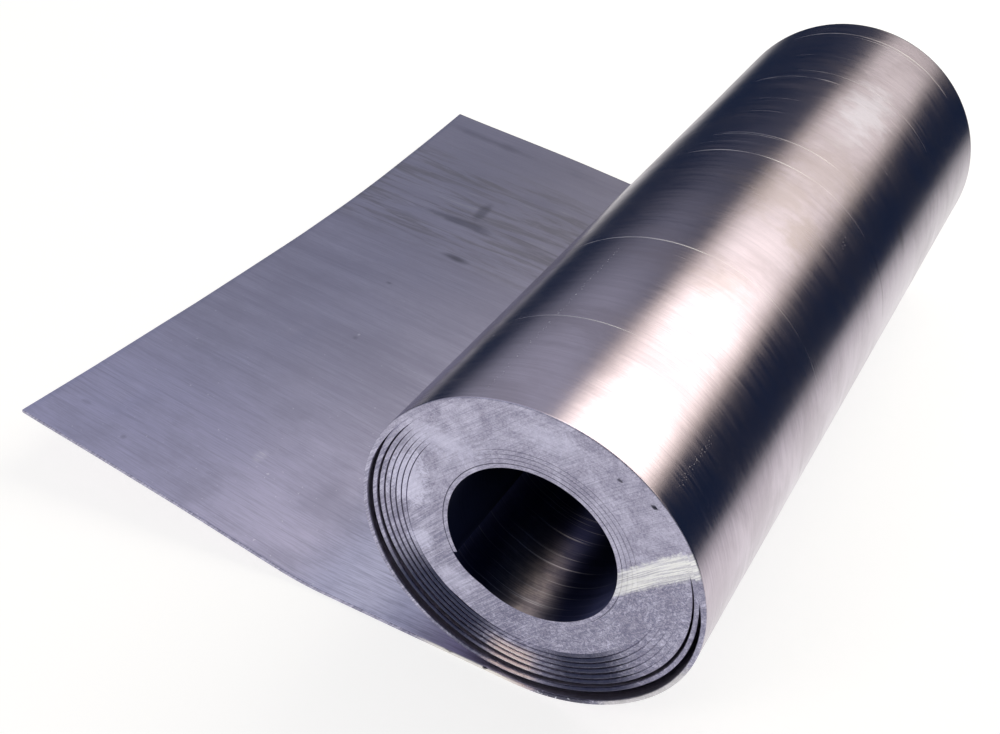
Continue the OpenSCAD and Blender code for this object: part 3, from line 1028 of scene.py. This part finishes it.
def hang_cloth(name, finish, corners, faces):
    mesh = bpy.data.meshes.new(name)
    mesh.from_pydata(corners, [], faces)
    mesh.materials.append(finish.material)
    mesh.shade_smooth()
    cloth = bpy.data.objects.new(name, mesh)
    bpy.context.scene.collection.objects.link(cloth)
    cloth.visible_camera = cloth.visible_diffuse = False
    cloth.visible_transmission = cloth.visible_shadow = False


# The canopy is lit high up on the left, faintly overhead, and less towards the front
n, glow, (x, y, z) = cloth_finish("canopy_cloth")
up_left = n.over(n.minus(z, x), CANOPY_REACH)
lit = n.plus(n.ramp(up_left, 0.70, 1.0, 0.0, 0.42), n.ramp(up_left, 1.1, 1.3, 0.0, 0.3))
lit = n.plus(lit, n.ramp(n.over(z, CANOPY_REACH), 0.24, 0.5, 0.0, 0.06))
lit = n.both(lit, n.ramp(n.over(y, CANOPY_REACH), -0.6, 0.1, 0.15, 1.0))
n.link(n.blend(lit, NAVY, CLOTH_GLOW), glow.inputs["Color"])
n.link(glow.outputs[0], n.output.inputs["Surface"])
corners = [Vector((0, 0, CANOPY_REACH))]
for i in range(1, CANOPY_ROWS + 1):
    tilt = radians(90 - 90 * i / CANOPY_ROWS)
    for j in range(CANOPY_COLUMNS):
        across, back = CANOPY_REACH * cos(tilt) * direction(tau * j / CANOPY_COLUMNS)
        corners.append(Vector((across, back, CANOPY_REACH * sin(tilt) + FLOOR)))
faces = [(0, 1 + j, 1 + (j + 1) % CANOPY_COLUMNS) for j in range(CANOPY_COLUMNS)]
for i in range(CANOPY_ROWS - 1):
    for j in range(CANOPY_COLUMNS):
        a = 1 + i * CANOPY_COLUMNS + j
        b = 1 + i * CANOPY_COLUMNS + (j + 1) % CANOPY_COLUMNS
        faces.append((a, a + CANOPY_COLUMNS, b + CANOPY_COLUMNS, b))
hang_cloth("canopy", n, corners, faces)

# The floor cloth lies to the right and the left of the roll, and not in front of it
n, glow, (x, y, _) = cloth_finish("floor_cloth")
glow.inputs["Color"].default_value = NAVY
to_right = n.ramp(n.plus(x, n.times(n.minus(y, 0.1), 0.35)), 0.06, 0.62)
to_left = n.ramp(n.minus(n.times(n.minus(y, 0.2), 0.1), x), 0.05, 0.5)
cover = n.both(n.either(to_right, to_left), n.ramp(y, -0.25, 0.05))
mixed(n, cover, n.add("ShaderNodeBsdfTransparent"), glow)
sides = ((-1, -1), (1, -1), (1, 1), (-1, 1))
corners = [Vector((CANOPY_REACH * a, CANOPY_REACH * b, FLOOR + CLOTH_LIFT)) for a, b in sides]
hang_cloth("floor_cloth", n, corners, [(0, 1, 2, 3)])

# The lamps. One long soft box hangs above and a little to the right, and runs back from the roll's
# far end, so that its reflection lies along the roll. It is weaker and warmer towards its edges,
# and dimmer in its farther part. A small one stands behind the camera.
LEAN = radians(69.6)
BOX_AWAY = 1.25
BOX_BACK = 2.5
BOX_WIDTH = 2.6
BOX_LENGTH = 4.2
BOX_RADIANCE = 2.5
BOX_COLOUR = (1.0, 0.945, 0.82)
# It fades between these distances from its middle line, those to the left counting a little less,
# and it dims between these places along it, to this level
FADE = (0.36, 1.08)
LEFT_SIDE = 0.94
DIM_PLACES = (1.4, 2.0)
DIM_LEVEL = 0.43
FRINGE = (1.0, 0.93, 0.80, 1)
BOX_MIDDLE = (1.0, 1.0, 1.0, 1)
FRONT_COLOUR = (1.0, 0.90, 0.84)


def soft_box(name, middle, aim, width, length, radiance, colour, upright="Y"):
    lamp = bpy.data.lights.new(name, "AREA")
    lamp.shape = "RECTANGLE"
    lamp.size, lamp.size_y = width, length
    lamp.energy = radiance * tau / 2 * width * length
    lamp.color = colour
    made = bpy.data.objects.new(name, lamp)
    turned = (middle - aim).to_track_quat("Z", upright).to_matrix()
    made.matrix_world = Matrix.Translation(middle) @ turned.to_4x4()
    made.visible_camera = False
    bpy.context.scene.collection.objects.link(made)
    return lamp


long_box = soft_box(
    "long_box",
    middle=Vector((BOX_AWAY * cos(LEAN), BOX_BACK, BOX_AWAY * sin(LEAN))),
    aim=Vector((0, BOX_BACK, 0)),
    width=BOX_WIDTH,
    length=BOX_LENGTH,
    radiance=BOX_RADIANCE,
    colour=BOX_COLOUR,
    upright="X",
)
long_box.use_nodes = True
n = Nodes(long_box.node_tree)
glow = n.tree.nodes["Emission"]
x, y, z = n.parts(n.add("ShaderNodeNewGeometry").outputs["Position"])
across = n.minus(n.times(x, sin(LEAN)), n.times(z, cos(LEAN)))
from_middle = n.either(across, n.times(across, -LEFT_SIDE))
edges = n.ramp(from_middle, *FADE, 1.0, 0.0)
dimmed = n.ramp(y, *DIM_PLACES, 1.0, DIM_LEVEL)
n.link(n.blend(edges, FRINGE, BOX_MIDDLE), glow.inputs["Color"])
n.link(n.both(edges, dimmed), glow.inputs["Strength"])
soft_box(
    "front_box",
    middle=Vector((-0.5, -1.3, 1.0)),
    aim=Vector((0, -0.2, 0)),
    width=0.5,
    length=0.5,
    radiance=6.0,
    colour=FRONT_COLOUR,
)

# The camera. It stands where the photograph was taken from, in front of the roll, a little to its
# right and above it, and looks down at it.
CAMERA_AT = Vector((0.14897, -0.57750, 0.37716))
CAMERA_RIGHT = Vector((0.87732, 0.47470, 0.07045))
CAMERA_DOWN = Vector((0.36302, -0.56045, -0.74439))
CAMERA_BACK = CAMERA_RIGHT.cross(-CAMERA_DOWN)
camera_data = bpy.data.cameras.new("camera")
camera_data.lens = 46.28
camera_data.sensor_width = 36
camera_data.shift_x = -0.0057
camera_data.shift_y = 0.1106
camera = bpy.data.objects.new("camera", camera_data)
turned = Matrix((CAMERA_RIGHT, -CAMERA_DOWN, CAMERA_BACK)).transposed()
camera.matrix_world = Matrix.Translation(CAMERA_AT) @ turned.to_4x4()
bpy.context.scene.collection.objects.link(camera)
bpy.context.scene.camera = camera
bpy.context.scene.view_settings.view_transform = "Standard"
